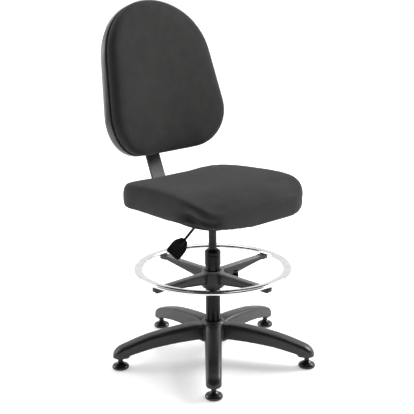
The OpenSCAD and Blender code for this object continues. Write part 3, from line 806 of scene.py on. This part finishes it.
def seat_cushion():
    edge, small = 16.0, -1.2
    rings = []
    for s in np.linspace(0.06, 1.0, 20):
        p = SC + s * (plan_at(edge + small) - SC)
        rings.append(A(np.column_stack([p, seat_crown(p)])))
    rim = plan_at(edge + small)
    top = seat_crown(rim)
    for a in np.linspace(0, math.pi / 2, 7)[1:]:
        p = plan_at(edge * (1 - math.sin(a)) + small)
        rings.append(A(np.column_stack([p, top - 15 * (1 - math.cos(a))])))
    def hem(p):
        """Lower edge of the cloth: it dips along the front and is drawn up a little at the front end of each side."""
        x, y = np.abs(p[:, 0]), p[:, 1]
        slack = np.where(p[:, 0] < 0, 12.5 * (1 - smoothstep(20, 175, x)), 12.5 * (1 - smoothstep(150, 236, x)))
        return seat_lo(y) - slack * smoothstep(-150, -215, y) - 1.5 - 3.0 * smoothstep(110, 190, y) + \
            8.0 * np.exp(-((y + 160) / 58) ** 2) * smoothstep(205, 246, x) + np.where(p[:, 0] < 0, 6.0, 2.0) * smoothstep(120, 205, x) * smoothstep(-150, -195, y)

    rear = 3.0 * smoothstep(80, 200, plan_at(0)[:, 1])[:, None]
    for t, i in ((0.2, -2.2), (0.45, -2.6), (0.7, -2.0), (0.9, -0.8)):
        p = plan_at(i - rear)
        rings.append(A(np.column_stack([p, lerp(top - 15, hem(p) + 1.5, t)])))
    for i, h in ((0.8 - rear, 1.0), (3.2 - rear, -0.4), (6.5, -1.0), (13, -1.0), (22, -1.0), (33, -1.0), (35, 0), (35, 2), (35, 10)):
        p = plan_at(i)
        rings.append(A(np.column_stack([p, hem(p) + h])))
    for s in np.linspace(0.96, 0.08, 9):
        p = SC + s * (plan_at(35) - SC)
        rings.append(A(np.column_stack([p, seat_lo(p[:, 1]) + 9])))
    o = rings_mesh("seat_upholstery", rings)

    def held(co):
        y = (co[:, 1] - AY) * 1000
        return co[:, 2] * 1000 - seat_lo(y) < 7.0

    puff(o, 0.0046, pressure=2.0, cap=0.005, pin=held, stiff=30, bend=12.0, smooth=14)
    # the cloth is drawn in where the front meets each side
    co = coords(o)
    p = (co - np.array([AX, AY, 0])) * 1000
    ax = np.abs(p[:, 0])
    c = SC / 1000
    out = p[:, :2] - np.array([0, -20.0])
    out /= np.maximum(np.linalg.norm(out, axis=1, keepdims=True), 1e-6)
    fold = np.array([(250, -148, 582), (247, -166, 577), (240, -182, 571), (229, -197, 565), (215, -209, 559), (200, -218, 555)], float)
    q = np.stack([ax, p[:, 1], p[:, 2]], -1)
    d = np.full(len(q), 1e9)
    for a_, b_ in zip(fold[:-1], fold[1:]):
        ab = b_ - a_
        t = np.clip(((q - a_) @ ab) / (ab @ ab), 0, 1)
        d = np.minimum(d, np.linalg.norm(q - (a_ + t[:, None] * ab), axis=1))
    pull = 7.5 * np.exp(-(d / 8.0) ** 2)
    hollow = 19.0 * np.exp(-(np.linalg.norm((q - np.array([248, -152, 575])) / np.array([28, 30, 20]), axis=1)) ** 2)
    hollow += 8.0 * np.exp(-(np.linalg.norm((q - np.array([243, -168, 556])) / np.array([26, 32, 16]), axis=1)) ** 2)
    # the corner on the sitter's right is drawn in deeper than the other
    amount = (pull + hollow) * smoothstep(170, 200, ax) * smoothstep(524, 536, p[:, 2]) * np.where(p[:, 0] < 0, 1.0, 0.28)
    # never so deep that the board's edge would show
    amount = np.minimum(amount, 8.0 + 30.0 * smoothstep(15, 27, p[:, 2] - seat_lo(p[:, 1])))
    co[:, :2] -= out * (amount / 1000)[:, None]
    set_coords(o, co)
    neighbours_smooth(o, 1, 0.4)
    return o


seat_pad = seat_cushion()
subdivide(seat_pad)
finish_piece(seat_pad, UPHOLSTERY, "seat", "upholstery", "seat_cushion")


# ------------------------------------------------------------------ hard pieces
def turned(a):
    """Local radial frame (out, side, up) of a direction measured from -Y towards +X, as rows."""
    o = az(a)
    return np.array([o, np.cross([0, 0, 1], o), [0, 0, 1]])


def radial(pts, a):
    """Points given as (out, side, up) in mm to the row frame."""
    return A(np.asarray(pts, float) @ turned(a))


def corner(cx, cy, r, a0, a1, n):
    t = np.radians(np.linspace(a0, a1, n))
    return [(cx + r * math.cos(q), cy + r * math.sin(q)) for q in t]


def arm_top(r):
    return 133 - 59 * (max(0.0, r - 60) / 277) ** 1.8


def arm_low(r):
    return 76 - 30 * (max(0.0, r - 60) / 277) ** 1.9


def arm_rings(a):
    rings = []
    stations = list(np.linspace(14, 60, 6)) + list(np.linspace(75, 300, 18)) + list(np.linspace(308, 330, 4)) + \
        [330 + 25 * math.sin(math.radians(q)) for q in (15, 30, 45, 57, 68, 77, 84, 88.5)]
    for r in stations:
        w = 31 - (r / 60) if r < 60 else 30 - 5 * (r - 60) / 270
        if r > 330:
            w = math.sqrt(max(0.5, 25 ** 2 - (r - 330) ** 2))
        top = 119 + (arm_top(60) - 125) * r / 60 if r < 60 else arm_top(r) - 6 * (1 - float(smoothstep(120, 280, r))) + 1.0 * float(smoothstep(290, 330, r))
        if r > 320:
            top = 45 + (top - 45) * max(0.0, 1 - ((r - 320) / 35.6) ** 2.5) ** 0.46
        low = arm_low(r) - 3.5 * float(smoothstep(210, 296, r))
        low = lerp(low, 40, float(smoothstep(298, 309, r)))
        if r < 60:
            low = lerp(66, 76, max(0, (r - 44) / 16)) if r > 44 else 66
        open_ = float(smoothstep(62, 76, r) * (1 - smoothstep(286, 300, r)))
        lane = lerp(low + 0.4, top - 8, open_)
        rt = min(14.0, w * 0.8, (top - low) * 0.42)
        inner = min(w * 0.66, 19.0)
        half = [(1.6, lane)] if open_ > 0.02 else [(1.6, low + 0.4)]
        half = [(1.8, low + 0.2), (2.4, lane - 1), (3.2, lane), (inner - 1.5, lane), (inner, lane - 1.5), (inner + 0.3, low + 0.2)]
        half += [(w - 2.6, low), (w - 0.8, low + 0.8), (w, low + 2.8), (w - 0.6, lerp(low, top - rt, 0.5)), (w - 1.2, top - rt)]
        half += corner(w - 1.2 - rt, top - rt, rt, 12, 90, 7)
        half += [(max(0.4, (w - rt) * 0.45), top + 0.5)]
        ring = [(r, y, z) for y, z in half] + [(r, -y, z) for y, z in reversed(half)]
        rings.append(radial(ring, a))
    return rings


TR, CR = 25.4, 14.0
BORE = TR + 0.45
hub_profile = [(BORE, 64, 0), (41.6, 64, 0), (41.6, 74, 0), (46, 74, 2), (47.5, 116, 8), (37.5, 129, 5), (34.5, 132.6, 1.5), (31.5, 133.2, 1), (BORE, 133.2, 0)]
parts = [rings_mesh("arm", arm_rings(-44 + 72 * i)) for i in range(5)]
parts.append(lathe("hub", hub_profile, seg=72, place=A, closed=True))
star = join("star_base_moulding", parts)
m = star.modifiers.new("remesh", "REMESH")
m.mode, m.voxel_size, m.use_smooth_shade = "VOXEL", 0.0023, True
baked(star)
for _ in range(16):
    neighbours_smooth(star, 1, 0.55)
    neighbours_smooth(star, 1, -0.555)
# the column's hole stays round and clear of the tube
co = coords(star)
rel = co[:, :2] - np.array([AX, AY])
rad = np.linalg.norm(rel, axis=1)
inside = (rad < (BORE + 1.4) / 1000) & (co[:, 2] > 0.060)
co[inside, :2] = np.array([AX, AY]) + rel[inside] / rad[inside, None] * BORE / 1000
set_coords(star, co)
finish_piece(star, BASE_NYLON, "base", "base_nylon", "base_star")

feet = []
for i in range(5):
    c = az(-44 + 72 * i) * 330
    prof = [(0, 0, 0), (22, 0, 0), (26.3, 1.2, 1.5), (28.6, 4.4, 3), (28.6, 9.6, 3.5), (25.2, 14.2, 3), (19.6, 17.0, 3), (13.8, 20.0, 3),
            (9.6, 23.6, 3), (8.2, 28.4, 2.5), (9.4, 34.2, 0.5), (12.6, 34.9, 0.6), (12.6, 37.4, 0.6), (10.5, 38.1, 0.4), (10.5, 39.8, 0), (5.6, 39.8, 0)]
    feet.append(lathe("foot", prof, seg=56, place=lambda p, c=c: A(p + c)))
glides = join("glides", feet)
finish_piece(glides, GLIDE_NYLON, "base", "glide_nylon", "glide_feet")

collar = lathe("column_collar", [
    (TR + 0.1, 333.4, 0), (TR + 1.6, 333.4, 0.5), (TR + 1.6, 367.6, 1.0), (TR + 0.4, 368.6, 0.4), (TR + 0.4, 370.2, 0.4), (TR + 2.0, 371.0, 0.5), (TR + 2.0, 378.4, 1.2), (TR - 0.4, 382.6, 2.0),
    (TR - 4.8, 386.0, 1.2), (CR + 2.2, 386.4, 0.6), (CR + 1.2, 384.6, 0.4), (CR + 0.1, 384.2, 0), (CR + 0.1, 300, 0), (TR - 1.6, 300, 0), (TR - 1.6, 372, 0), (TR + 0.1, 372, 0)], seg=80, place=A, closed=True)
finish_piece(collar, BLACK_PLASTIC, "base", "collar_plastic", "top_collar")

# foot ring, a flat oval tube
ring_rows = []
for t in np.linspace(0, 2 * math.pi, 36, endpoint=False):
    e = 2.35
    ct, st = math.cos(t), math.sin(t)
    ring_rows.append((253 + 15 * math.copysign(abs(ct) ** (2 / e), ct), 321 + 7.5 * math.copysign(abs(st) ** (2 / e), st)))
u = np.linspace(0, 2 * math.pi, 288, endpoint=False)
rv = [A(np.stack([r * np.cos(u), r * np.sin(u), np.full(288, z)], -1)) for r, z in ring_rows]
ring_faces = grid_faces(len(rv), 288) + [((len(rv) - 1) * 288 + j, (len(rv) - 1) * 288 + (j + 1) % 288, (j + 1) % 288, j) for j in range(288)]
tube = make("footring_tube", [p for r in rv for p in r], ring_faces)
finish_piece(tube, CHROME, "ring", "ring_chrome", "foot_ring")


# spider: four flanged channels on a hub, each with an end block and a small upright tab
def spoke_rings(a):
    rings = []
    for r in list(np.linspace(27, 42, 4)) + list(np.linspace(50, 214, 12)) + [222, 227, 232, 238, 244, 252, 256, 259, 261.0, 261.8]:
        end = smoothstep(224, 240, r)
        w = lerp(11.6, 10.8, min(1, r / 200)) + 2.2 * end
        top = lerp(311.2, 312.4, r / 232) + 1.0 * float(end)
        low = lerp(270.0, 298.2, min(1, max(0, (r - 34) / 198)))
        low -= 1.5 * float(end)
        if r > 259:
            w -= (r - 259) * 0.9
            top -= (r - 259) * 0.9
            low += (r - 259) * 0.9
        open_ = float(smoothstep(36, 46, r) * (1 - smoothstep(216, 226, r)))
        ceil = lerp(low + 0.4, 304, open_)
        lip = 2.0 * (1 - float(end))
        half = [(0.5, ceil), (w - 5.4, ceil), (w - 4.4, ceil - 1.2), (w - 4.0, low + 0.4), (w - 3.2, low), (w - 0.8, low), (w, low + 1.0),
                (w - 0.5, lerp(low, top - 9, 0.5)), (w - 0.6, top - 8.6), (w - 0.2, top - 7.2), (w + lip - 0.4, top - 6.2), (w + lip, top - 4.6), (w + lip - 0.2, top - 2.6),
                (w + lip - 1.4, top - 0.9), (w + lip - 3.6, top - 0.1), (w * 0.45, top + 0.1), (0.5, top + 0.15)]
        ring = [(r, y, z) for y, z in half] + [(r, -y, z) for y, z in reversed(half)]
        rings.append(radial(ring, a))
    return rings


def block(name, x0, x1, y0, y1, z0, z1, a, width=1.2, seg=3):
    c = [(x, y, z) for z in (z0, z1) for y in (y0, y1) for x in (x0, x1)]
    o = make(name, radial(c, a), [(0, 1, 3, 2), (4, 6, 7, 5), (0, 4, 5, 1), (2, 3, 7, 6), (0, 2, 6, 4), (1, 5, 7, 3)], smooth=False)
    return bevel(o, width, seg)


sp = []
for i in range(4):
    sp.append(rings_mesh("spoke", spoke_rings(90 * i)))
    sp.append(block("tab", 229.4, 236.4, -9.5, 9.5, 309, 315.5, 90 * i, 2.0))
sp.append(lathe("spider_hub", [(TR + 2.15, 251.5, 0), (33, 251.5, 2), (38.6, 255.5, 4), (41, 266, 4), (40.4, 302, 0.5), (38.6, 304.4, 1.0), (38.6, 309.6, 1.4), (36.0, 312.6, 1.6), (TR + 5.1, 313.2, 0.8), (TR + 5.1, 310.8, 0), (TR + 2.15, 310.8, 0)], seg=72, place=A, closed=True))
k = turned(46)
lug_turn = np.array([k[0], k[1], k[2]])


def along(a, base, z):
    """Place for a lathe whose own axis points outwards in direction a, starting base mm from the column at height z."""
    fr = turned(a)
    return lambda p: A(p[:, 2:3] * fr[0] + fr[0] * base + p[:, 0:1] * -fr[2] + p[:, 1:2] * fr[1] + np.array([0, 0, z]))


sp.append(lathe("lug", [(0, 0, 0), (13, 0, 0), (11.6, 20, 0), (11, 24.5, 1.8), (4.3, 24.5, 0), (4.3, 18, 0), (0, 18, 0)], seg=40, place=along(46, 31.5, 286)))
spider = join("footring_spider", sp)
finish_piece(spider, SPIDER_NYLON, "ring", "spider_nylon", "ring_spider")


# hand knobs, soft five-lobed
def hand_knob(name, r, h, place):
    n = 100
    t = np.linspace(0, 2 * math.pi, n, endpoint=False)
    lobes = np.cos(5 * (t - math.radians(10)))
    rings = []
    prof = [(0.30, -8.0, 0), (0.34, -8.0, 0), (0.365, -7.2, 0), (0.44, -1.2, 0), (0.50, 0.2, 0.2), (0.70, 0.6, 0.7), (0.88, 1.2, 1), (0.965, 2.6, 1), (1.0, 5.0, 1), (1.0, h - 4.5, 1),
            (0.975, h - 2.2, 1), (0.91, h - 0.7, 1), (0.80, h, 0.9), (0.62, h, 0.6), (0.50, h - 0.5, 0.2), (0.36, h - 0.9, 0), (0.14, h - 1.0, 0)]
    for f, z, l in prof:
        rr = r * f * (1 - 0.10 * l * (0.5 - 0.5 * lobes) ** 1.3 * 1.6)
        rings.append(np.stack([rr * np.cos(t), rr * np.sin(t), np.full(n, z)], -1))
    return rings_mesh(name, [place(q) for q in rings])


def on_back(base_d, v):
    """Lathe placement along the back's rearward axis."""
    return lambda p: B(np.stack([p[:, 0], base_d + p[:, 2], v - p[:, 1]], -1))


rk = hand_knob("footring_knob", 25, 18, along(46, 69, 286))
finish_piece(rk, BLACK_PLASTIC, "ring_screw", "knob_plastic", "ring_knob")
hk = hand_knob("back_height_knob", 21, 16, on_back(151, 100))
finish_piece(hk, BLACK_PLASTIC, "height_screw", "knob_plastic", "height_knob")
dk = hand_knob("back_depth_knob", 21, 16, lambda p: A(p * np.array([1, 1, -1]) + np.array([0, 86, 494])))
finish_piece(dk, BLACK_PLASTIC, "depth_screw", "knob_plastic", "depth_knob")

# lever: bent wire and ribbed paddle
SLOPE, REACH = 36.1, 118.8
bend = np.array([-55.0, -20.0, 520.0])
down = np.array([-math.cos(math.radians(SLOPE)), 0, -math.sin(math.radians(SLOPE))])
path = [np.array([-33.2, -20, 520.0]), bend + np.array([7.5, 0, 0])]
for q in np.linspace(0, 1, 7)[1:]:
    path.append((1 - q) ** 2 * (bend + np.array([7.5, 0, 0])) + 2 * q * (1 - q) * bend + q * q * (bend + down * 7.5))
path += [bend + down * s for s in (20, 50, 80, 110, REACH + 27.5)]
rows = []
for i, p in enumerate(path):
    d = path[min(i + 1, len(path) - 1)] - path[max(i - 1, 0)]
    d /= np.linalg.norm(d)
    side = np.array([0.0, 1.0, 0.0])
    nn = np.cross(d, side)
    t = np.linspace(0, 2 * math.pi, 28, endpoint=False)
    rows.append(A(p + 4.6 * (np.cos(t)[:, None] * side + np.sin(t)[:, None] * nn)))
wire = rings_mesh("lever_wire", rows)
finish_piece(wire, POWDER, "lever", "black_paint", "lever_rod")

_pm = Matrix.Translation(Vector(bend)) @ Matrix.Rotation(math.radians(180 - SLOPE), 4, "Y") @ Matrix.Translation((REACH, 0, 0)) @ Matrix.Rotation(math.radians(-60), 4, "X")
PM = np.array(_pm)


def on_paddle(p):
    p = np.asarray(p, float)
    return A(p @ PM[:3, :3].T + PM[:3, 3])


outline_half = [(-7, 8.5), (-6.6, 11.4), (-5.2, 13.2), (-3, 14.6), (3, 18), (9, 21.4), (13, 23.6), (15.5, 24.8), (18.5, 25.6), (24, 26.2), (33, 26.8), (43, 27), (52, 26.8), (57, 26.2), (60.4, 24.6), (62.4, 22), (63, 18.5), (63, 9), (63, 0)]
pl = np.array([(x, -y) for x, y in outline_half] + [(x, y) for x, y in reversed(outline_half[:-1])] + [(-7.2, 3.5), (-7.2, 0), (-7.2, -3.5)])
cx = np.array([28.0, 0.0])


def half_thick(x):
    return np.interp(x, [-8, 34, 63], [7, 6.4, 3.8])


def paddle_ring(scale, lift):
    q = cx + (pl - cx) * scale
    return on_paddle(np.column_stack([q, half_thick(q[:, 0]) * lift]))


prof = [(0.10, -0.80), (0.45, -0.82), (0.78, -0.86), (0.86, -0.98), (0.92, -0.98), (0.965, -0.86), (0.99, -0.6), (1.0, -0.25), (1.0, 0.25), (0.99, 0.6), (0.965, 0.86), (0.92, 0.98), (0.86, 0.98), (0.78, 0.86), (0.45, 0.82), (0.10, 0.80)]
pads = [rings_mesh("paddle", [paddle_ring(s, l) for s, l in prof])]
for x in (14, 23, 32, 41, 50):
    hw = float(np.interp(x, [10, 20, 45, 55], [13.5, 18.5, 18.5, 16.5]))
    for s in (-1, 1):
        zc = s * float(half_thick(x)) * 0.86
        rr = []
        for yy in np.concatenate([[-hw - 1.1, -hw - 0.6], np.linspace(-hw, hw, 9), [hw + 0.6, hw + 1.1]]):
            f = 0.35 if abs(yy) > hw + 0.9 else (0.75 if abs(yy) > hw + 0.1 else 1.0)
            t = np.linspace(0, 2 * math.pi, 14, endpoint=False)
            rr.append(on_paddle(np.column_stack([x + 1.5 * f * np.cos(t), np.full(14, yy), zc + 1.25 * f * np.sin(t)])))
        pads.append(rings_mesh("rib", rr))
neck = []
for x, rad in ((-10, 5.2), (-9.2, 6.0), (-5, 6.8), (2, 7.2), (14, 6.6), (30, 4.5)):
    t = np.linspace(0, 2 * math.pi, 28, endpoint=False)
    neck.append(on_paddle(np.column_stack([np.full(28, x), rad * np.cos(t), rad * np.sin(t)])))
pads.append(rings_mesh("neck", neck))
paddle = join("lever_paddle", pads)
finish_piece(paddle, PADDLE, "lever", "grip_plastic", "lever_grip")

# ---- the remaining turned, bent and pressed steel keeps its exact shape, with its edges broken
for n_, w_ in (("seat_bracket", 0.7), ("bar_housing", 0.8), ("taper_socket", 0.8), ("back_carriage", 1.6), ("pivot_plate", 0.7), ("bar_end_cap", 1.6), ("lever_block", 0.8),
               ("back_bar", 1.3), ("gas_cylinder", 0.4), ("hub_bush", 0.3), ("base_hub_ring", 0.5), ("bracket_bolts", 0.4), ("ring_screws", 0.3), ("back_screws", 0.3), ("rod_clip", 0.2)):
    o = nodes[n_]
    w = o.modifiers.new("weld", "WELD")
    w.merge_threshold = 1e-6
    b = o.modifiers.new("broken_edges", "BEVEL")
    b.width, b.segments, b.limit_method, b.angle_limit = w_ / 1000, 3, "ANGLE", math.radians(38)
    b.use_clamp_overlap = True
